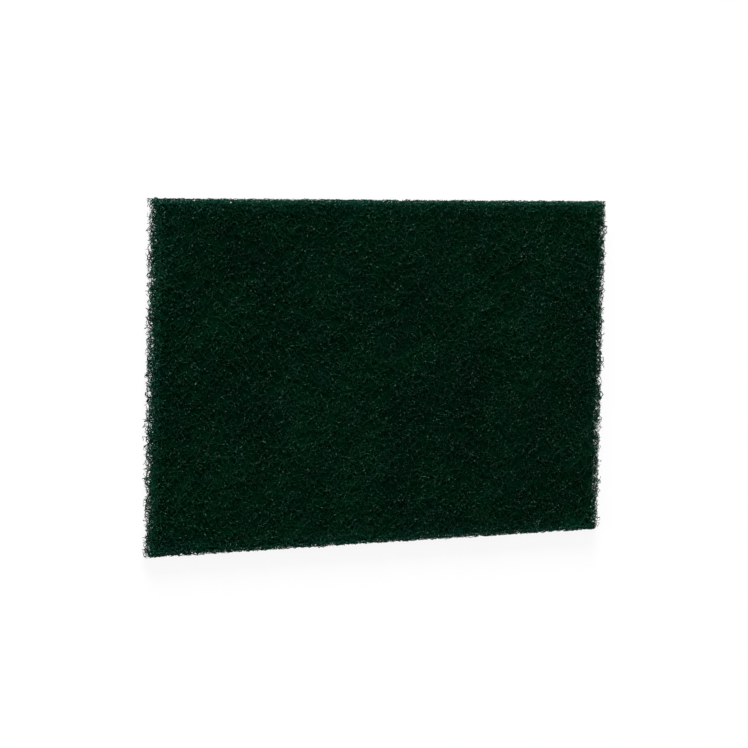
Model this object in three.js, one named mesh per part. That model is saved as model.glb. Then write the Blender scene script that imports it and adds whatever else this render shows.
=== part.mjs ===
// A nylon scouring pad: one slab of open, non-woven web that lies flat.
// Crimped nylon fibres are laid at random, bonded with resin and mineral grit, and cut to a rectangle.
// The whole pad is one piece, so it is one closed body with nothing inside it.
// The origin is at the middle of the underside. +X runs along the long side, +Y along the short
// side and +Z out of the upper face. Lengths are in millimetres.

import * as THREE from "three";
import { mergeVertices } from "three/addons/utils/BufferGeometryUtils.js";

// Size of the pad as it is cut, over the tops of its tufts
const PAD_LENGTH = 229;
const PAD_WIDTH = 152;
const PAD_THICKNESS = 8;

// Cut edges: the knife rounds the web over, and the fibres leave the cut a little ragged
const EDGE_RADIUS = 1.8;
const EDGE_FACETS = 2;
const EDGE_RAGGEDNESS = 0.7;
const EDGE_ROW_SPACING = 2.4;

// Upper and lower faces: tufts of fibre stand up between shallow hollows
const TUFT_SPACING = 4.2;
const TUFT_SCATTER = 1.3;
const HOLLOW_DEPTH = 0.9;
const UNDERSIDE_REST_SHARE = 0.55;

// Dark green resin over nylon fibre, which hardly shines
const WEB_COLOUR = 0x0e3b29;
const WEB_ROUGHNESS = 0.85;

// Large odd numbers that mix the bits of whole numbers, so that the fibres fall at random
const BIT_MIXERS = [374761393, 668265263, 1274126177, 2246822519];
const BIT_RANGE = 2 ** 32;
const SCATTER_LAYER = { split: 0, upperHollow: 1, lowerHollow: 2, shiftX: 3, shiftY: 5, cut: 7 };

// Rows of points across a span: they fan out round both edges and are even between them.
function rowsAcross(span, spacing) {
  const rowsPerEdge = Math.max(1, Math.round(EDGE_FACETS / 2));
  const radius = Math.min(EDGE_RADIUS, PAD_THICKNESS / 2);
  const flat = span - 2 * radius;
  const cells = flat > 0 ? Math.max(1, Math.round(flat / spacing)) : 0;
  const edge = [];
  for (let row = 0; row < rowsPerEdge; row += 1) {
    const lean = (Math.PI / 4) * (1 - row / rowsPerEdge);
    edge.push(radius * (1 - Math.tan(lean)));
  }
  const rows = edge.map((inset) => inset - span / 2);
  for (let cell = 0; cell <= cells; cell += 1) {
    rows.push(radius - span / 2 + (flat * cell) / Math.max(1, cells));
  }
  return rows.concat(edge.reverse().map((inset) => span / 2 - inset));
}

// A value from 0 to 1 that is the same for the same three whole numbers, and unlike its neighbours'.
function scatter(i, j, k) {
  const [mixI, mixJ, mixK, mixAll] = BIT_MIXERS;
  let bits = Math.imul(i + 1, mixI) + Math.imul(j + 1, mixJ) + Math.imul(k + 1, mixK);
  bits = Math.imul(bits ^ (bits >>> 13), mixAll);
  bits = Math.imul(bits ^ (bits >>> 15), mixI);
  return ((bits ^ (bits >>> 16)) >>> 0) / BIT_RANGE;
}

// Rolls a point of the square-edged slab onto its rounded edges.
function roundEdges(point, half) {
  const radius = Math.min(EDGE_RADIUS, half.z);
  const inner = new THREE.Vector3(half.x - radius, half.y - radius, half.z - radius);
  const core = point.clone().clamp(inner.clone().negate(), inner);
  const outward = point.clone().sub(core).normalize();
  return { place: core.addScaledVector(outward, radius), outward };
}

// How far the fibres lie below the upper face, or above the surface that the pad rests on.
function hollowDepth(i, j, isUpper) {
  const depth = scatter(i, j, isUpper ? SCATTER_LAYER.upperHollow : SCATTER_LAYER.lowerHollow);
  if (isUpper) return HOLLOW_DEPTH * depth;
  const raised = Math.max(0, depth - UNDERSIDE_REST_SHARE);
  return (HOLLOW_DEPTH * raised) / (1 - UNDERSIDE_REST_SHARE);
}

// How far a tuft of a face stands from its place in the rows, along X or Y.
function tuftShift(i, j, isUpper, layer) {
  return TUFT_SCATTER * (scatter(i, j, isUpper ? layer : layer + 1) - 0.5);
}

// How far the cut face lies inside the cutting line.
function cutDepth(i, j, k) {
  return EDGE_RAGGEDNESS * scatter(i, j, k + SCATTER_LAYER.cut);
}

// Splits half of the squares across their other diagonal, so that the tufts have no grain.
// A square with the corners a, b, c, d comes as the triangles a, b, d and b, c, d.
function mixDiagonals(index) {
  const cornersPerSquare = 6;
  for (let first = 0; first < index.count; first += cornersPerSquare) {
    if (scatter(first, 0, SCATTER_LAYER.split) < 0.5) continue;
    const a = index.getX(first);
    const c = index.getX(first + 4);
    index.setX(first + 2, c);
    index.setX(first + 3, a);
  }
}

// The slab: a box divided into rows, whose points are rolled round the edges and then given the
// hollows of the two faces and the ragged line of the four cuts.
function webGeometry() {
  const xs = rowsAcross(PAD_LENGTH, TUFT_SPACING);
  const ys = rowsAcross(PAD_WIDTH, TUFT_SPACING);
  const zs = rowsAcross(PAD_THICKNESS, EDGE_ROW_SPACING);
  const last = { x: xs.length - 1, y: ys.length - 1, z: zs.length - 1 };
  const box = new THREE.BoxGeometry(1, 1, 1, last.x, last.y, last.z);
  box.deleteAttribute("normal");
  box.deleteAttribute("uv");
  const web = mergeVertices(box);
  mixDiagonals(web.getIndex());
  const half = new THREE.Vector3(PAD_LENGTH, PAD_WIDTH, PAD_THICKNESS).multiplyScalar(0.5);
  const corner = new THREE.Vector3(0.5, 0.5, 0.5);
  const position = web.getAttribute("position");
  const cell = new THREE.Vector3();
  for (let n = 0; n < position.count; n += 1) {
    cell.fromBufferAttribute(position, n).add(corner);
    const i = Math.round(cell.x * last.x);
    const j = Math.round(cell.y * last.y);
    const k = Math.round(cell.z * last.z);
    const { place, outward } = roundEdges(new THREE.Vector3(xs[i], ys[j], zs[k]), half);
    const isUpper = outward.z > 0;
    const isOnFace = outward.x === 0 && outward.y === 0;
    if (isOnFace) {
      place.x += tuftShift(i, j, isUpper, SCATTER_LAYER.shiftX);
      place.y += tuftShift(i, j, isUpper, SCATTER_LAYER.shiftY);
    } else {
      place.x -= outward.x * cutDepth(i, j, k);
      place.y -= outward.y * cutDepth(i, j, k);
    }
    place.z -= outward.z * hollowDepth(i, j, isUpper);
    position.setXYZ(n, place.x, place.y, place.z + half.z);
  }
  web.computeVertexNormals();
  return web;
}

function makeWeb() {
  const material = new THREE.MeshStandardMaterial({
    color: WEB_COLOUR,
    roughness: WEB_ROUGHNESS,
    metalness: 0,
  });
  const web = new THREE.Mesh(webGeometry(), material);
  web.name = "scouring_pad";
  return web;
}

const pad = new THREE.Group();
pad.name = "nylon_scouring_pad";
pad.add(makeWeb());

export default pad;
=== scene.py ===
"""A nylon scouring pad: crimped fibres, laid at random, bonded with resin and cut to a rectangle.

The dense middle of the web is one rough slab. Round it lie the strands that show one by one: those
of the two faces, and those of the open band along the four cuts. All of it takes its place from
the solid slab in the frame.
"""

import math

import bpy
import numpy as np
from bpy.props import FloatProperty, FloatVectorProperty, IntProperty, PointerProperty
from mathutils import Matrix, Vector
from mathutils.bvhtree import BVHTree


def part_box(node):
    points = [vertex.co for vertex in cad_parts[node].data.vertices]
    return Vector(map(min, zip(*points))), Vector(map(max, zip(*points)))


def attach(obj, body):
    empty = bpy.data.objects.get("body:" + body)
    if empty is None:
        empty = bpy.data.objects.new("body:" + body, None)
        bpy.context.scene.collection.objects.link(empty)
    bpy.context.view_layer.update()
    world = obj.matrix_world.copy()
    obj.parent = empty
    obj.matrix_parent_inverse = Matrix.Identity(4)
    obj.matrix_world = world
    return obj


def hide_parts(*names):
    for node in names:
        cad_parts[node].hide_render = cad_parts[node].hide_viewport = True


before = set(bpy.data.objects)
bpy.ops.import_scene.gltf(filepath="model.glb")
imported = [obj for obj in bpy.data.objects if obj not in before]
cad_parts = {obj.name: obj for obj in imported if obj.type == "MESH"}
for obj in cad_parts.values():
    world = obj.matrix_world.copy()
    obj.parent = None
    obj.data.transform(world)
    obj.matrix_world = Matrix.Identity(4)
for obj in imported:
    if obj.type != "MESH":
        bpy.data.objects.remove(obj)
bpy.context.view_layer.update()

bl_info = {
    "name": "Nylon scouring pad",
    "version": (1, 0, 0),
    "blender": (4, 5, 0),
    "location": "3D View > Sidebar > Scouring pad",
    "description": "Makes a pad of bonded, non-woven nylon web, with its floor, lamps and camera",
    "category": "Object",
}

MM = 0.001
PAD_NODE = "scouring_pad"
BODY = "root"

# How far apart the slab's heights are read, and how far from its edges
HEIGHT_SPACING = 1.5 * MM
HEIGHT_INSET = 1.0 * MM

# How many sides a strand has, and how thick its two ends are against the rest
STRAND_SIDES = 3
END_TAPER = 0.6

# How a fibre bends, by habit and by chance, as shares of the usual bend
OWN_BEND = 0.8
CHANCE_BEND = 0.6

# How fast a fibre runs through its waves against the usual one, and how steeply it climbs
WAVE_PACE = (0.7, 1.4)
CHANCE_PACE = 0.25
CLIMB = 0.6

# How far a shoulder turns down towards upright, which is 1
SHOULDER_TURN = 0.95

# How far the fibres of the cuts swing up and down, and how near to a face they come, as shares of
# the pad's thickness
CUT_SWING = (0.08, 0.25)
NEAREST_TO_FACE = 0.02

# How far the lumps of the middle are scattered, as a share of their spacing, how deep under a face
# they start, as a share of the loft, and how far the wall goes in and out, in heights of a lump
LUMP_SCATTER = 0.35
MIDDLE_DEPTH = 0.6
WALL_ROWS = 5
WALL_ROUGHNESS = (-1.0, 0.6)

# The flat maps: how many columns of strands for each square root of their number, the width of a
# strand's closed end in steps, and how much of the map the middle fills with and without its wall
MAP_COLUMNS = 0.4
MAP_END = 0.4
MAP_FILL = 0.98
MAP_FACE = 0.94

# The sockets of a node that mixes two colours
FACTOR, FIRST, SECOND, MIXED = 0, 6, 7, 2

# How many pieces the strands of the upper face and of the cuts are in, and where chance starts
UPPER_PIECES = 3
CUT_PIECES = 2
MIDDLE_SEED = 11
UPPER_SEED = 100
LOWER_SEED = 200
CUT_SEED = 300


def linear(code):
    """The linear colour of an sRGB hex code."""
    parts = [int(code[n : n + 2], 16) / 255 for n in (1, 3, 5)]
    return [c / 12.92 if c <= 0.04045 else ((c + 0.055) / 1.055) ** 2.4 for c in parts]


# What a user may change


class WebSettings(bpy.types.PropertyGroup):
    """Sizes and colours of the bonded web."""

    strand_diameter: FloatProperty(
        name="Strand diameter",
        description="Thickness of a usual fibre with the resin and grit on it",
        default=0.3 * MM,
        unit="LENGTH",
    )
    strand_spread: FloatProperty(
        name="Spread of diameters",
        description="How much thicker or thinner one fibre is than another",
        default=0.3,
        subtype="FACTOR",
    )
    resin_swell: FloatProperty(
        name="Resin swell",
        description="How much thicker or thinner the resin makes a fibre along its length",
        default=0.3,
        subtype="FACTOR",
    )
    face_step: FloatProperty(
        name="Step of the face strands",
        description="Length of one straight step of a fibre of the faces",
        default=1.0 * MM,
        unit="LENGTH",
    )
    face_steps: IntProperty(
        name="Steps of the face strands",
        description="How many steps a fibre of the faces is followed for",
        default=9,
    )
    cut_step: FloatProperty(
        name="Step of the cut strands",
        description="Length of one straight step of a fibre along the cuts",
        default=0.8 * MM,
        unit="LENGTH",
    )
    cut_steps: IntProperty(
        name="Steps of the cut strands",
        description="How many steps a fibre along the cuts is followed for",
        default=7,
    )
    bend_radius: FloatProperty(
        name="Crimp radius",
        description="Radius of a usual bend of a fibre",
        default=2.2 * MM,
        unit="LENGTH",
    )
    crimp_length: FloatProperty(
        name="Crimp length",
        description="Length of one wave of a fibre up and down through the web",
        default=3.0 * MM,
        unit="LENGTH",
    )
    loft: FloatProperty(
        name="Loft of the faces",
        description="Depth of the open layer of fibres on each face",
        default=1.8 * MM,
        unit="LENGTH",
    )
    upper_strands: IntProperty(
        name="Upper strands",
        description="Fibres in each piece of the upper face",
        default=2500,
    )
    lower_strands: IntProperty(
        name="Lower strands",
        description="Fibres of the underside",
        default=2700,
    )
    cut_strands: IntProperty(
        name="Strands of the cuts",
        description="Fibres in each piece of the open band along the cuts",
        default=3400,
    )
    cut_fineness: FloatProperty(
        name="Fineness of the cut strands",
        description="How thick the fibres along the cuts are, with their thin resin, against others",
        default=0.87,
        subtype="FACTOR",
    )
    end_band: FloatProperty(
        name="Open band of the ends",
        description="How far in from a short cut the light passes between the fibres",
        default=4.0 * MM,
        unit="LENGTH",
    )
    side_band: FloatProperty(
        name="Open band of the long sides",
        description="How far in from a long cut the light passes between the fibres",
        default=2.4 * MM,
        unit="LENGTH",
    )
    end_density: FloatProperty(
        name="Density of the ends",
        description="How close the fibres lie along a short cut, against a long one",
        default=0.85,
        subtype="FACTOR",
    )
    end_fray: FloatVectorProperty(
        name="Fray of the ends",
        description="How far inside and outside a short cut its fibres end",
        default=(2.6 * MM, 2.0 * MM),
        size=2,
        unit="LENGTH",
    )
    side_fray: FloatVectorProperty(
        name="Fray of the long sides",
        description="How far inside and outside a long cut its fibres end",
        default=(0.5 * MM, 0.3 * MM),
        size=2,
        unit="LENGTH",
    )
    shoulder: FloatProperty(
        name="Shoulder",
        description="Radius over which the faces turn down into the cuts",
        default=2.6 * MM,
        unit="LENGTH",
    )
    # Reach of the pale colour by the cuts: thin resin, and painted light falling in there
    pale_resin_and_light_reach: FloatProperty(
        name="Thin resin",
        description="How far in from the cuts the resin stays thin and pale",
        default=1.0 * MM,
        unit="LENGTH",
    )
    # Fade of the pale colour by the cuts: thin resin, and painted light falling in there
    pale_resin_and_light_fade: FloatProperty(
        name="Fade of the thin resin",
        description="Over what width the thin resin then turns into the usual one",
        default=7.0 * MM,
        unit="LENGTH",
    )
    lump_spacing: FloatProperty(
        name="Lumps of the middle",
        description="Distance between the lumps of the dense middle",
        default=1.2 * MM,
        unit="LENGTH",
    )
    lump_height: FloatProperty(
        name="Height of the lumps",
        description="How far the lumps of the dense middle stand up",
        default=0.8 * MM,
        unit="LENGTH",
    )
    resin_green: FloatVectorProperty(
        name="Green resin",
        description="Main colour of the resin on the fibres",
        default=linear("#042C16"),
        subtype="COLOR",
    )
    resin_teal: FloatVectorProperty(
        name="Teal resin",
        description="Where the resin is bluer",
        default=linear("#062C20"),
        subtype="COLOR",
    )
    # Paler by the cuts: thin resin, and painted light falling in through the open cuts
    pale_resin_and_edge_light: FloatVectorProperty(
        name="Thin resin by the cuts",
        description="Paler resin near the cuts",
        default=linear("#125341"),
        subtype="COLOR",
    )
    # Thick resin in the drift, and painted shade deep between the fibres of the dense middle
    thick_resin_and_painted_deep_shade: FloatVectorProperty(
        name="Dark resin",
        description="Where the resin lies thick, and deep between the fibres",
        default=linear("#01160B"),
        subtype="COLOR",
    )
    # Pale specks: the grit's own colour, and painted glints on the grains that catch the light
    grit_and_painted_glint: FloatVectorProperty(
        name="Grit",
        description="Grains of mineral grit, paler and greyer than the resin",
        default=linear("#587666"),
        subtype="COLOR",
    )


class StageSettings(bpy.types.PropertyGroup):
    """The floor, the lamps and the camera."""

    view_yaw: FloatProperty(
        name="View yaw",
        description="How far the camera stands to the left of the upper face's middle line",
        default=math.radians(29.47),
        unit="ROTATION",
    )
    view_pitch: FloatProperty(
        name="View pitch",
        description="How far the camera stands towards the far long side",
        default=math.radians(5.0),
        unit="ROTATION",
    )
    view_roll: FloatProperty(
        name="View roll",
        description="Tilt of the camera about its own line of sight",
        default=math.radians(-1.14),
        unit="ROTATION",
    )
    view_offset: FloatVectorProperty(
        name="View offset",
        description="Where the pad's origin lies from the camera: to the right, up and back",
        default=(2.65 * MM, 1.18 * MM, -1203.8 * MM),
        unit="LENGTH",
    )
    lens: FloatProperty(
        name="Lens",
        description="Focal length of the camera, in millimetres",
        default=130.76,
    )
    floor_size: FloatProperty(
        name="Floor size",
        description="Width of the floor",
        default=5.4,
        unit="LENGTH",
    )
    floor_colour: FloatVectorProperty(
        name="Floor",
        description="Colour of the plain floor",
        default=linear("#FFFFFF"),
        subtype="COLOR",
    )
    floor_glow: FloatProperty(
        name="Floor glow",
        description="How much of the floor that is seen shows plain white, free of shadow",
        default=0.88,
        subtype="FACTOR",
    )
    sky_strength: FloatProperty(
        name="Sky",
        description="Even light from all round",
        default=0.35,
    )
    key_power: FloatProperty(
        name="Key lamp",
        description="Power of the large soft lamp beyond the far long side, in watts",
        default=184.0,
    )
    key_place: FloatVectorProperty(
        name="Place of the key lamp",
        description="Where the key lamp stands",
        default=(-0.75, 3.0, 1.4),
        unit="LENGTH",
    )
    side_power: FloatProperty(
        name="Side lamp",
        description="Power of the soft lamp to the left, in watts",
        default=40.0,
    )
    side_place: FloatVectorProperty(
        name="Place of the side lamp",
        description="Where the side lamp stands",
        default=(-3.0, 0.25, 1.25),
        unit="LENGTH",
    )
    lamp_size: FloatProperty(
        name="Lamp size",
        description="Width of each lamp",
        default=1.5,
        unit="LENGTH",
    )


# Helpers


def add_node(tree, kind, values=(), links=(), **options):
    """Adds a node with its own options, values on its sockets and links into them."""
    node = tree.nodes.new(kind)
    for name, value in options.items():
        setattr(node, name, value)
    for socket, value in dict(values).items():
        node.inputs[socket].default_value = value
    for socket, source in dict(links).items():
        tree.links.new(source, node.inputs[socket])
    return node


def new_tree(owner):
    """An empty node tree for a material or a world."""
    owner.use_nodes = True
    owner.node_tree.nodes.clear()
    return owner.node_tree


def opaque(colour):
    """A colour with full alpha, as a socket holds it."""
    return (*colour, 1.0)


def make_piece(name, points, triangles, flat, material):
    """A mesh object from points, triangles and the places of their corners on a flat map."""
    mesh = bpy.data.meshes.new(name)
    mesh.vertices.add(len(points))
    mesh.vertices.foreach_set("co", points.astype(np.float32).ravel())
    mesh.loops.add(triangles.size)
    mesh.loops.foreach_set("vertex_index", triangles.astype(np.int32).ravel())
    mesh.polygons.add(len(triangles))
    mesh.polygons.foreach_set("loop_start", np.arange(0, triangles.size, 3, dtype=np.int32))
    mesh.update(calc_edges=True)
    mesh.shade_smooth()
    layer = mesh.uv_layers.new(name="OFBake")
    layer.uv.foreach_set("vector", flat.astype(np.float32).ravel())
    mesh.materials.append(material)
    piece = bpy.data.objects.new(name, mesh)
    bpy.context.scene.collection.objects.link(piece)
    return piece


def join_frame(piece):
    """The piece moves with the pad's body."""
    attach(piece, BODY)


# The form of the pad, as the frame gives it


class PadForm:
    """Heights of the upper and the lower face over a grid of places."""

    def __init__(self):
        self.low, self.high = (np.array(corner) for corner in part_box(PAD_NODE))
        low, high = self.low[:2] + HEIGHT_INSET, self.high[:2] - HEIGHT_INSET
        counts = np.ceil((high - low) / HEIGHT_SPACING).astype(int) + 1
        self.xs, self.ys = (np.linspace(low[n], high[n], counts[n]) for n in (0, 1))
        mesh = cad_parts[PAD_NODE].data
        tree = BVHTree.FromPolygons(
            [v.co for v in mesh.vertices], [p.vertices for p in mesh.polygons]
        )
        self.upper = self.cast(tree, self.high[2], -1)
        self.lower = self.cast(tree, self.low[2], 1)

    def cast(self, tree, level, way):
        """Heights at which rays from outside meet the slab."""
        start, course = level - way * MM, Vector((0, 0, way))
        hits = [
            [tree.ray_cast(Vector((x, y, start)), course)[0].z for y in self.ys] for x in self.xs
        ]
        return np.array(hits)

    def sample(self, heights, places):
        """Heights between the grid's places, which stop just short of its last line."""
        spots = []
        for side, lines in enumerate((self.xs, self.ys)):
            step = lines[1] - lines[0]
            spots.append(np.clip((places[..., side] - lines[0]) / step, 0, len(lines) - 1.001))
        i, j = (spot.astype(int) for spot in spots)
        u, v = spots[0] - i, spots[1] - j
        near = heights[i, j] * (1 - u) + heights[i + 1, j] * u
        far = heights[i, j + 1] * (1 - u) + heights[i + 1, j + 1] * u
        return near * (1 - v) + far * v


# Strands


def even_starts(rng, count, sides):
    """Places spread evenly at random over a square or a cube with sides of 1."""
    # Steps by powers of 1 / x fill it evenly, where x to the power of sides + 1 is x + 1
    root = 2.0
    for _ in range(40):
        root = (1 + root) ** (1 / (sides + 1))
    steps = (1 / root) ** np.arange(1, sides + 1)
    return (rng.uniform(0, 1, sides) + np.arange(count)[:, None] * steps) % 1


def turned_back(values, low, high):
    """Values that run past either limit come back from it, as a crimped fibre does."""
    span = high - low
    return high - np.abs(np.mod(values - low, 2 * span) - span)


def crimped_lines(rng, web, starts, step, steps):
    """Lines bent by the crimp: their points in plan, and how far on each point is in its waves."""
    count = len(starts)
    bend = step / web.bend_radius
    habit = rng.normal(0, OWN_BEND * bend, (count, 1))
    turns = habit + rng.normal(0, CHANCE_BEND * bend, (count, steps))
    heading = rng.uniform(0, 2 * math.pi, (count, 1)) + np.cumsum(turns, axis=1)
    pace = rng.uniform(*WAVE_PACE, (count, 1)) + rng.normal(0, CHANCE_PACE, (count, steps + 1))
    wave = rng.uniform(0, 2 * math.pi, (count, 1)) + np.cumsum(
        pace * 2 * math.pi * step / web.crimp_length, axis=1
    )
    # A step that climbs takes the line less far on in plan
    level_share = np.sqrt(1 - (CLIMB * np.cos(wave[:, 1:])) ** 2)
    moves = step * level_share[..., None] * np.stack([np.cos(heading), np.sin(heading)], axis=2)
    first = np.zeros((count, 1, 2))
    return starts[:, None] + np.concatenate([first, np.cumsum(moves, axis=1)], axis=1), wave


def reaches(rng, web, count):
    """How far past the short and the long cuts each strand reaches."""
    fray = np.array([web.end_fray, web.side_fray])
    return rng.uniform(-fray[:, 0], fray[:, 1], (count, 2))


def shoulder_drop(web, form, plan):
    """How far the faces have turned down into the cuts."""
    inward = np.minimum(plan - form.low[:2], form.high[:2] - plan).min(axis=-1)
    lean = np.clip(1 - inward / web.shoulder, 0, SHOULDER_TURN)
    return web.shoulder * (1 - np.sqrt(1 - lean**2))


def strand_map(count, steps):
    """Where the corners of the strands' triangles lie on their flat map, a cell for each strand."""
    columns = round(MAP_COLUMNS * math.sqrt(count))
    rows = math.ceil(count / columns)
    gap = np.array([1.0, 0.5])
    cell = gap + (steps, STRAND_SIDES)
    order = np.arange(count)
    corner = np.stack([order % columns, order // columns], axis=1) * cell + gap / 2
    near = np.stack(np.meshgrid(np.arange(steps), np.arange(STRAND_SIDES), indexing="ij"), axis=2)
    after_near, far, after_far = near + (0, 1), near + (1, 0), near + (1, 1)
    faces = [
        np.stack([near, after_near, after_far], axis=2),
        np.stack([near, after_far, far], axis=2),
        np.array([(0, 0), (-MAP_END, STRAND_SIDES / 2), (0, STRAND_SIDES)]),
        np.array([(steps, 0), (steps + MAP_END, STRAND_SIDES / 2), (steps, STRAND_SIDES)]),
    ]
    places = [corner[:, None, None] + face.reshape(1, -1, 3, 2) for face in faces]
    return np.concatenate([place.reshape(-1, 3, 2) for place in places]) / (cell * (columns, rows))


def tubes(rng, web, form, plan, heights, fineness=1.0):
    """Closed tubes round lines of points, which keep inside the pad's thickness."""
    count, length = heights.shape
    radii = web.strand_diameter / 2 * np.exp(rng.normal(0, web.strand_spread, (count, 1)))
    radii = fineness * radii * (1 + web.resin_swell * rng.uniform(-1, 1, (count, length)))
    radii[:, [0, -1]] *= END_TAPER
    heights = np.clip(heights, form.low[2] + radii, form.high[2] - radii)
    points = np.dstack([plan, heights])
    along = np.gradient(points, axis=1)
    along /= np.linalg.norm(along, axis=2, keepdims=True) + 1e-12
    side = rng.normal(0, 1, (count, 3))
    across = np.zeros_like(points)
    for n in range(length):
        side = side - np.sum(side * along[:, n], axis=1, keepdims=True) * along[:, n]
        side /= np.linalg.norm(side, axis=1, keepdims=True)
        across[:, n] = side
    upward = np.cross(along, across)
    rings = []
    for turn in 2 * math.pi * np.arange(STRAND_SIDES) / STRAND_SIDES:
        outward = math.cos(turn) * across + math.sin(turn) * upward
        rings.append(points + radii[..., None] * outward)
    index = np.arange(count * length * STRAND_SIDES).reshape(count, length, STRAND_SIDES)
    near, far = index[:, :-1], index[:, 1:]
    after_near, after_far = np.roll(near, -1, axis=2), np.roll(far, -1, axis=2)
    faces = [
        np.stack([near, after_near, after_far], axis=3).reshape(-1, 3),
        np.stack([near, after_far, far], axis=3).reshape(-1, 3),
        index[:, 0, ::-1],
        index[:, -1],
    ]
    points = np.stack(rings, axis=2).reshape(-1, 3)
    return points, np.concatenate(faces), strand_map(count, length - 1)


def face_strands(rng, web, form, count, is_upper):
    """Strands in the open layer of a face, whose crests lie at its surface."""
    starts = form.low[:2] + even_starts(rng, count, 2) * (form.high - form.low)[:2]
    plan, wave = crimped_lines(rng, web, starts, web.face_step, web.face_steps)
    # The strands of the faces thin out over the shoulder
    reach = reaches(rng, web, count) - web.shoulder * rng.uniform(0, 1, (count, 2))
    plan = turned_back(plan, form.low[:2] - reach[:, None], form.high[:2] + reach[:, None])
    depth = web.strand_diameter / 2 + web.loft * (0.5 - 0.5 * np.sin(wave))
    depth += shoulder_drop(web, form, plan)
    if is_upper:
        heights = form.sample(form.upper, plan) - depth
    else:
        heights = form.sample(form.lower, plan) + depth
    return tubes(rng, web, form, plan, heights)


def cut_strands(rng, web, form, count):
    """Strands through the whole thickness of the open band along the four cuts."""
    size = (form.high - form.low)[:2]
    bands = np.array([web.end_band, web.side_band])
    volumes = bands * size[::-1] * (web.end_density, 1)
    # Two short cuts, then two long ones
    counts = np.repeat(np.round(count / 2 * volumes / volumes.sum()).astype(int), 2)
    cut = np.repeat(np.arange(4), counts)
    axis, way = cut // 2, 2.0 * (cut % 2) - 1
    count, rows = len(cut), np.arange(len(cut))
    spread = np.concatenate([even_starts(rng, n, 3) for n in counts])
    starts = (spread[:, :1] - 0.5) * size
    starts[rows, axis] = spread[:, 1] * bands[axis]
    plan, wave = crimped_lines(rng, web, starts, web.cut_step, web.cut_steps)
    # Across the cut it stays between the dense middle and its own reach
    reach = reaches(rng, web, count)
    outward = turned_back(plan[rows, :, axis], 0, (bands[axis] + reach[rows, axis])[:, None])
    # Along the cut it stays on the pad, and the strands of the long cuts thin out into the ends
    limit = size / 2 + reach
    limit[axis == 1, 0] -= web.end_band * rng.uniform(0, 1, np.sum(axis == 1))
    plan = turned_back(plan, -limit[:, None], limit[:, None])
    plan[rows, :, axis] = way[:, None] * ((size / 2 - bands)[axis][:, None] + outward)
    plan += (form.low + form.high)[:2] / 2
    drop = shoulder_drop(web, form, plan)
    upper = form.sample(form.upper, plan) - drop
    lower = form.sample(form.lower, plan) + drop
    swing = rng.uniform(*CUT_SWING, (count, 1))
    share = spread[:, 2:] + swing * np.sin(wave)
    share = np.clip(share, NEAREST_TO_FACE, 1 - NEAREST_TO_FACE)
    return tubes(rng, web, form, plan, lower + (upper - lower) * share, web.cut_fineness)


# The dense middle


def middle_map(share, scale, side):
    """Where a point of the middle lies on its flat map: the upper face to the left of the lower."""
    return (0.5 + MAP_FILL * scale * (share - 0.5) + (side, 0)) * (0.5, 1)


def rough_wall(rng, web, form, upper_rim, lower_rim):
    """Rows of points down the wall between two rims, which is as rough as the faces."""
    centre = (form.low + form.high) / 2
    rows = []
    for row in range(1, WALL_ROWS):
        share = row / WALL_ROWS
        ring = upper_rim * (1 - share) + lower_rim * share
        inward = (centre - ring) * (1, 1, 0)
        inward /= np.linalg.norm(inward, axis=1, keepdims=True)
        roughness = rng.uniform(*WALL_ROUGHNESS, (len(ring), 1))
        bulge = web.lump_height * (roughness - math.sin(math.pi * share))
        rows.append(ring + inward * bulge)
    return rows


def split_squares(rng, index):
    """Two triangles for each square of a grid, cut along either diagonal at random."""
    a, b = index[:-1, :-1].ravel(), index[1:, :-1].ravel()
    c, d = index[1:, 1:].ravel(), index[:-1, 1:].ravel()
    other = (rng.uniform(0, 1, len(a)) < 0.5)[:, None]
    first = np.where(other, np.stack([a, b, d], 1), np.stack([a, b, c], 1))
    second = np.where(other, np.stack([b, c, d], 1), np.stack([a, c, d], 1))
    return np.concatenate([first, second])


def between_rings(rings):
    """Triangles from each ring to the next."""
    triangles = []
    for high_ring, low_ring in zip(rings, rings[1:]):
        after_high, after_low = np.roll(high_ring, -1, axis=0), np.roll(low_ring, -1, axis=0)
        triangles.append(np.stack([high_ring, low_ring, after_low], 1))
        triangles.append(np.stack([high_ring, after_low, after_high], 1))
    return np.concatenate(triangles)


def dense_middle(rng, web, form):
    """A closed rough slab inside the open layers."""
    band = np.array([web.end_band, web.side_band])
    low, high = form.low[:2] + band, form.high[:2] - band
    counts = np.round((high - low) / web.lump_spacing).astype(int) + 1
    lines = [np.linspace(low[n], high[n], counts[n]) for n in (0, 1)]
    grid = np.stack(np.meshgrid(*lines, indexing="ij"), axis=2)
    grid += rng.uniform(-LUMP_SCATTER, LUMP_SCATTER, grid.shape) * web.lump_spacing
    faces = []
    for heights, way in ((form.upper, -1), (form.lower, 1)):
        lumps = web.lump_height * rng.uniform(0, 1, grid.shape[:2])
        z = form.sample(heights, grid) + way * (MIDDLE_DEPTH * web.loft + lumps)
        faces.append(np.dstack([grid, z]).reshape(-1, 3))
    index = np.arange(counts[0] * counts[1]).reshape(counts)
    rim = np.concatenate([index[:-1, 0], index[-1, :-1], index[:0:-1, -1], index[0, :0:-1]])
    rows = rough_wall(rng, web, form, faces[0][rim], faces[1][rim])
    points = np.concatenate([*faces, *rows])
    upper = split_squares(rng, index)
    row_starts = 2 * index.size + len(rim) * np.arange(len(rows))
    rings = [rim, *(first + np.arange(len(rim)) for first in row_starts), rim + index.size]
    triangles = np.concatenate([upper, upper[:, ::-1] + index.size, between_rings(rings)])
    # On the flat map the wall is a frame round the upper face
    share = ((grid - grid.min(axis=(0, 1))) / np.ptp(grid, axis=(0, 1))).reshape(-1, 2)
    upper_map, lower_map = (middle_map(share, MAP_FACE, side)[upper] for side in (0, 1))
    scales = np.linspace(MAP_FACE, 1, len(rings))
    wall_map = between_rings([middle_map(share[rim], scale, 0) for scale in scales])
    return points, triangles, np.concatenate([upper_map, lower_map[:, ::-1], wall_map])


# Materials


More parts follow.
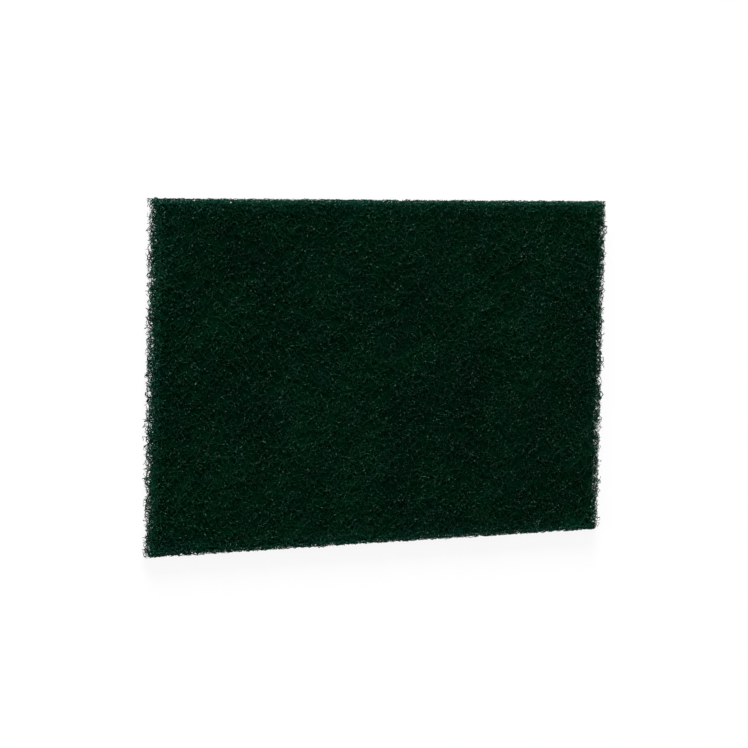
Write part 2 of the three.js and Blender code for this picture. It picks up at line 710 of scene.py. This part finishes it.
def by_the_cuts(tree, web, place, grain):
    """How much the cuts pale the resin, as thin resin and as painted light falling in there:
    most on the grains, and not at all well inside.
    """
    low, high = (Vector(corner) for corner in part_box(PAD_NODE))
    middle, half = (low + high) / 2, (high - low) / 2
    from_middle = add_node(
        tree, "ShaderNodeVectorMath", {1: middle}, {0: place}, operation="SUBTRACT"
    ).outputs[0]
    outward = add_node(
        tree, "ShaderNodeVectorMath", (), {0: from_middle}, operation="ABSOLUTE"
    ).outputs[0]
    inward = add_node(
        tree, "ShaderNodeVectorMath", {0: half}, {1: outward}, operation="SUBTRACT"
    ).outputs[0]
    sides = add_node(tree, "ShaderNodeSeparateXYZ", (), {0: inward}).outputs
    nearest = add_node(
        tree, "ShaderNodeMath", (), {0: sides["X"], 1: sides["Y"]}, operation="MINIMUM"
    ).outputs[0]
    share = add_node(
        tree,
        "ShaderNodeMapRange",
        {
            "From Min": web.pale_resin_and_light_reach,
            "From Max": web.pale_resin_and_light_reach + web.pale_resin_and_light_fade,
            "To Min": 1.0,
            "To Max": 0.0,
        },
        {"Value": nearest},
    ).outputs["Result"]
    fading = add_node(tree, "ShaderNodeMath", {1: 1.5}, {0: share}, operation="POWER").outputs[0]
    unevenness = add_node(
        tree, "ShaderNodeMapRange", {"To Min": 0.25, "To Max": 1.0}, {"Value": grain}
    ).outputs["Result"]
    return add_node(
        tree, "ShaderNodeMath", (), {0: fading, 1: unevenness}, operation="MULTIPLY"
    ).outputs[0]


def resin_colour(tree, web, place, grain):
    """The resin's drift from green to teal and from thin to thick, over 10 mm and more, and its
    paler colour by the cuts, which is thin resin and painted light falling in there.
    """
    hue = add_node(
        tree, "ShaderNodeTexNoise", {"Scale": 1 / (12 * MM), "Detail": 2}, {"Vector": place}
    ).outputs["Fac"]
    to_teal = add_node(
        tree, "ShaderNodeMapRange", {"From Min": 0.45, "From Max": 0.65}, {"Value": hue}
    ).outputs["Result"]
    thin = add_node(
        tree,
        "ShaderNodeMix",
        {FIRST: opaque(web.resin_green), SECOND: opaque(web.resin_teal)},
        {FACTOR: to_teal},
        data_type="RGBA",
    ).outputs[MIXED]
    pooling = add_node(
        tree,
        "ShaderNodeTexNoise",
        {"Scale": 1 / (30 * MM), "Detail": 5, "Roughness": 0.7},
        {"Vector": place},
    ).outputs["Fac"]
    to_thick = add_node(
        tree,
        "ShaderNodeMapRange",
        {"From Min": 0.34, "From Max": 0.66, "To Max": 0.9},
        {"Value": pooling},
    ).outputs["Result"]
    drifting = add_node(
        tree,
        "ShaderNodeMix",
        {SECOND: opaque(web.thick_resin_and_painted_deep_shade)},
        {FACTOR: to_thick, FIRST: thin},
        data_type="RGBA",
    ).outputs[MIXED]
    # Paler by the cuts: thin resin, and painted light falling in through the open cuts
    return add_node(
        tree,
        "ShaderNodeMix",
        {SECOND: opaque(web.pale_resin_and_edge_light)},
        {FACTOR: by_the_cuts(tree, web, place, grain), FIRST: drifting},
        data_type="RGBA",
    ).outputs[MIXED]


def grit_grains(tree, place):
    """1 on a grain and 0 off it, for all the grains and for the few given a painted glint.

    Grains of about 0.1 mm are drawn at about 0.6 mm, so that they show.
    """
    cells = add_node(
        tree, "ShaderNodeTexVoronoi", {"Scale": 1 / (1.0 * MM)}, {"Vector": place}
    ).outputs
    grain = add_node(
        tree,
        "ShaderNodeMapRange",
        {"From Min": 0.15, "From Max": 0.42, "To Min": 1.0, "To Max": 0.0},
        {"Value": cells["Distance"]},
    ).outputs["Result"]
    # A few grains get a painted glint on top of the grit's pale colour
    glint_pick = add_node(
        tree, "ShaderNodeSeparateColor", (), {"Color": cells["Color"]}
    ).outputs["Red"]
    glint_weight = add_node(
        tree, "ShaderNodeMath", {1: 1.9}, {0: glint_pick}, operation="POWER"
    ).outputs[0]
    painted_glints = add_node(
        tree, "ShaderNodeMath", (), {0: grain, 1: glint_weight}, operation="MULTIPLY"
    ).outputs[0]
    return grain, painted_glints


def bonded_web_material(web):
    """Phenolic resin with mineral grit over crimped nylon fibre, sprayed on and cured in an oven.

    The grit makes the gloss dull. Its pale grey-green specks are partly the grit's own colour and
    partly painted glints, strongest on the few grains that catch the light. The resin pools here and
    runs thin there, so the green drifts to teal and to near black. By the cuts it is paler, as thin
    resin and as painted light falling in there.
    """
    material = bpy.data.materials.new("gritty_green_resin_on_nylon")
    tree = new_tree(material)
    place = add_node(tree, "ShaderNodeTexCoord").outputs["Object"]
    grain, painted_glints = grit_grains(tree, place)
    # Pale specks: the grit's own colour, and painted glints on the grains that catch the light
    colour = add_node(
        tree,
        "ShaderNodeMix",
        {SECOND: opaque(web.grit_and_painted_glint)},
        {FACTOR: painted_glints, FIRST: resin_colour(tree, web, place, grain)},
        data_type="RGBA",
    ).outputs[MIXED]
    bump = add_node(
        tree, "ShaderNodeBump", {"Strength": 0.5, "Distance": 0.1 * MM}, {"Height": painted_glints}
    ).outputs["Normal"]
    shader = add_node(
        tree,
        "ShaderNodeBsdfPrincipled",
        {"Roughness": 0.6, "IOR": 1.53, "Specular IOR Level": 0.03},
        {"Base Color": colour, "Normal": bump},
    )
    add_node(tree, "ShaderNodeOutputMaterial", (), {"Surface": shader.outputs["BSDF"]})
    return material


def deep_web_material(web):
    """The same resin deep between the fibres, painted as shade where crossing strands shut out
    light.

    Its colour is a painted, nearly black green shade with the ghosts of more strands, drawn as the
    contour lines of smooth noise, which wander and close up as crimped fibres do.
    """
    material = bpy.data.materials.new("deep_resin_in_painted_shade")
    tree = new_tree(material)
    place = add_node(tree, "ShaderNodeTexCoord").outputs["Object"]
    ghosts = None
    for layer in range(2):
        # Strands about 1.2 mm apart in each layer
        field = add_node(
            tree,
            "ShaderNodeTexNoise",
            {"Scale": 1 / (1.2 * MM), "Detail": 0.5, "W": 7.3 * layer},
            {"Vector": place},
            noise_dimensions="4D",
        ).outputs["Fac"]
        level = add_node(
            tree, "ShaderNodeMath", {1: 0.5}, {0: field}, operation="SUBTRACT"
        ).outputs[0]
        apart = add_node(tree, "ShaderNodeMath", (), {0: level}, operation="ABSOLUTE").outputs[0]
        line = add_node(
            tree,
            "ShaderNodeMapRange",
            {"From Min": 0.0, "From Max": 0.06, "To Min": 0.7, "To Max": 0.0},
            {"Value": apart},
        ).outputs["Result"]
        if ghosts is not None:
            line = add_node(
                tree, "ShaderNodeMath", (), {0: line, 1: ghosts}, operation="MAXIMUM"
            ).outputs[0]
        ghosts = line
    # Painted shade: nearly black between the ghost strands, deep in the web
    colour = add_node(
        tree,
        "ShaderNodeMix",
        {FIRST: opaque(web.thick_resin_and_painted_deep_shade)},
        {FACTOR: ghosts, SECOND: resin_colour(tree, web, place, ghosts)},
        data_type="RGBA",
    ).outputs[MIXED]
    shader = add_node(
        tree,
        "ShaderNodeBsdfPrincipled",
        {"Roughness": 0.7, "IOR": 1.53, "Specular IOR Level": 0.0},
        {"Base Color": colour},
    )
    add_node(tree, "ShaderNodeOutputMaterial", (), {"Surface": shader.outputs["BSDF"]})
    return material


def seen_directly(tree):
    """1 for what is seen straight, in a gloss or through glass, and 0 for light that falls."""
    path = add_node(tree, "ShaderNodeLightPath").outputs
    either = add_node(
        tree,
        "ShaderNodeMath",
        (),
        {0: path["Is Camera Ray"], 1: path["Is Glossy Ray"]},
        operation="MAXIMUM",
    ).outputs[0]
    return add_node(
        tree,
        "ShaderNodeMath",
        (),
        {0: either, 1: path["Is Transmission Ray"]},
        operation="MAXIMUM",
    ).outputs[0]


def floor_material(stage):
    """Matt white paper on a studio floor: it shows white, and the pad's shadow is faint on it."""
    material = bpy.data.materials.new("matt_white_paper")
    tree = new_tree(material)
    paper = add_node(
        tree, "ShaderNodeBsdfDiffuse", {"Color": opaque(stage.floor_colour)}
    ).outputs["BSDF"]
    glow = add_node(
        tree, "ShaderNodeEmission", {"Color": opaque(stage.floor_colour), "Strength": 1.0}
    ).outputs["Emission"]
    share = add_node(
        tree,
        "ShaderNodeMath",
        {1: stage.floor_glow},
        {0: seen_directly(tree)},
        operation="MULTIPLY",
    ).outputs[0]
    surface = add_node(
        tree, "ShaderNodeMixShader", (), {0: share, 1: paper, 2: glow}
    ).outputs["Shader"]
    add_node(tree, "ShaderNodeOutputMaterial", (), {"Surface": surface})
    return material


# The stage


def make_floor(stage):
    """A plain square of paper under the pad."""
    half = stage.floor_size / 2
    corners = np.array([(-half, -half, 0), (half, -half, 0), (half, half, 0), (-half, half, 0)])
    mesh = bpy.data.meshes.new("paper_floor")
    mesh.from_pydata(corners.tolist(), [], [(0, 1, 2, 3)])
    mesh.materials.append(floor_material(stage))
    floor = bpy.data.objects.new("paper_floor", mesh)
    bpy.context.scene.collection.objects.link(floor)


def make_sky(scene, stage):
    """Even light from all round, which shows as white."""
    world = bpy.data.worlds.new("studio_sky")
    tree = new_tree(world)
    strength = add_node(
        tree,
        "ShaderNodeMapRange",
        {"To Min": stage.sky_strength, "To Max": 1.0},
        {"Value": seen_directly(tree)},
    ).outputs["Result"]
    sky = add_node(
        tree, "ShaderNodeBackground", {"Color": (1, 1, 1, 1)}, {"Strength": strength}
    ).outputs["Background"]
    add_node(tree, "ShaderNodeOutputWorld", (), {"Surface": sky})
    scene.world = world


def add_lamp(name, power, size, place):
    """A large soft lamp that faces the pad."""
    light = bpy.data.lights.new(name, "AREA")
    light.energy = power
    light.size = size
    lamp = bpy.data.objects.new(name, light)
    lamp.location = place
    lamp.rotation_mode = "QUATERNION"
    lamp.rotation_quaternion = (-place).to_track_quat("-Z", "Y")
    bpy.context.scene.collection.objects.link(lamp)


def make_camera(scene, stage):
    """The camera stands over the upper face, a little to the left."""
    camera = bpy.data.cameras.new("camera")
    camera.lens = stage.lens
    camera.sensor_width = 36
    camera.clip_start, camera.clip_end = 0.01, 100
    turn = (
        Matrix.Rotation(stage.view_roll, 3, "Z")
        @ Matrix.Rotation(stage.view_pitch, 3, "X")
        @ Matrix.Rotation(stage.view_yaw, 3, "Y")
    ).transposed()
    viewer = bpy.data.objects.new("camera", camera)
    viewer.matrix_world = (
        Matrix.Translation(-(turn @ Vector(stage.view_offset))) @ turn.to_4x4()
    )
    scene.collection.objects.link(viewer)
    scene.camera = viewer


# Operators


class MakeMiddle(bpy.types.Operator):
    """Makes the dense middle of the web, which stands for the frame's slab."""

    bl_idname = "scouring_pad.make_middle"
    bl_label = "Dense middle"

    def execute(self, context):
        web = context.scene.scouring_pad_web
        slab = dense_middle(np.random.default_rng(MIDDLE_SEED), web, PadForm())
        middle = make_piece("dense_middle", *slab, deep_web_material(web))
        join_frame(middle)
        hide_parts(PAD_NODE)
        return {"FINISHED"}


class MakeUpperStrands(bpy.types.Operator):
    """Makes the strands of the upper face."""

    bl_idname = "scouring_pad.make_upper_strands"
    bl_label = "Upper strands"

    def execute(self, context):
        web = context.scene.scouring_pad_web
        form, material = PadForm(), bonded_web_material(web)
        for n in range(UPPER_PIECES):
            rng = np.random.default_rng(UPPER_SEED + n)
            strands = face_strands(rng, web, form, web.upper_strands, True)
            join_frame(make_piece(f"upper_strands_{n + 1}", *strands, material))
        return {"FINISHED"}


class MakeLowerStrands(bpy.types.Operator):
    """Makes the strands of the underside."""

    bl_idname = "scouring_pad.make_lower_strands"
    bl_label = "Lower strands"

    def execute(self, context):
        web = context.scene.scouring_pad_web
        rng = np.random.default_rng(LOWER_SEED)
        strands = face_strands(rng, web, PadForm(), web.lower_strands, False)
        join_frame(make_piece("lower_strands", *strands, bonded_web_material(web)))
        return {"FINISHED"}


class MakeCutStrands(bpy.types.Operator):
    """Makes the strands of the open band along the four cuts."""

    bl_idname = "scouring_pad.make_cut_strands"
    bl_label = "Strands of the cuts"

    def execute(self, context):
        web = context.scene.scouring_pad_web
        form, material = PadForm(), bonded_web_material(web)
        for n in range(CUT_PIECES):
            rng = np.random.default_rng(CUT_SEED + n)
            strands = cut_strands(rng, web, form, web.cut_strands)
            join_frame(make_piece(f"cut_strands_{n + 1}", *strands, material))
        return {"FINISHED"}


class MakeStage(bpy.types.Operator):
    """Makes the floor, the sky, the lamps and the camera."""

    bl_idname = "scouring_pad.make_stage"
    bl_label = "Floor, lamps and camera"

    def execute(self, context):
        stage = context.scene.scouring_pad_stage
        make_floor(stage)
        make_sky(context.scene, stage)
        add_lamp("far_lamp", stage.key_power, stage.lamp_size, Vector(stage.key_place))
        add_lamp("left_lamp", stage.side_power, stage.lamp_size, Vector(stage.side_place))
        make_camera(context.scene, stage)
        context.scene.view_settings.view_transform = "Standard"
        return {"FINISHED"}


class PadPanel(bpy.types.Panel):
    """Lists the steps that make the pad."""

    bl_idname = "VIEW3D_PT_scouring_pad"
    bl_label = "Scouring pad"
    bl_space_type = "VIEW_3D"
    bl_region_type = "UI"
    bl_category = "Scouring pad"

    def draw(self, context):
        for step in STEPS:
            self.layout.operator(step.bl_idname)
        for settings in (context.scene.scouring_pad_web, context.scene.scouring_pad_stage):
            box = self.layout.box()
            for name in settings.__annotations__:
                box.prop(settings, name)


STEPS = (MakeMiddle, MakeUpperStrands, MakeLowerStrands, MakeCutStrands, MakeStage)
CLASSES = (WebSettings, StageSettings, *STEPS, PadPanel)


def register():
    for item in CLASSES:
        bpy.utils.register_class(item)
    bpy.types.Scene.scouring_pad_web = PointerProperty(type=WebSettings)
    bpy.types.Scene.scouring_pad_stage = PointerProperty(type=StageSettings)


def unregister():
    del bpy.types.Scene.scouring_pad_stage
    del bpy.types.Scene.scouring_pad_web
    for item in reversed(CLASSES):
        bpy.utils.unregister_class(item)


def main():
    register()
    bpy.ops.scouring_pad.make_middle()
    bpy.ops.scouring_pad.make_upper_strands()
    bpy.ops.scouring_pad.make_lower_strands()
    bpy.ops.scouring_pad.make_cut_strands()
    bpy.ops.scouring_pad.make_stage()


if __name__ == "__main__":
    main()
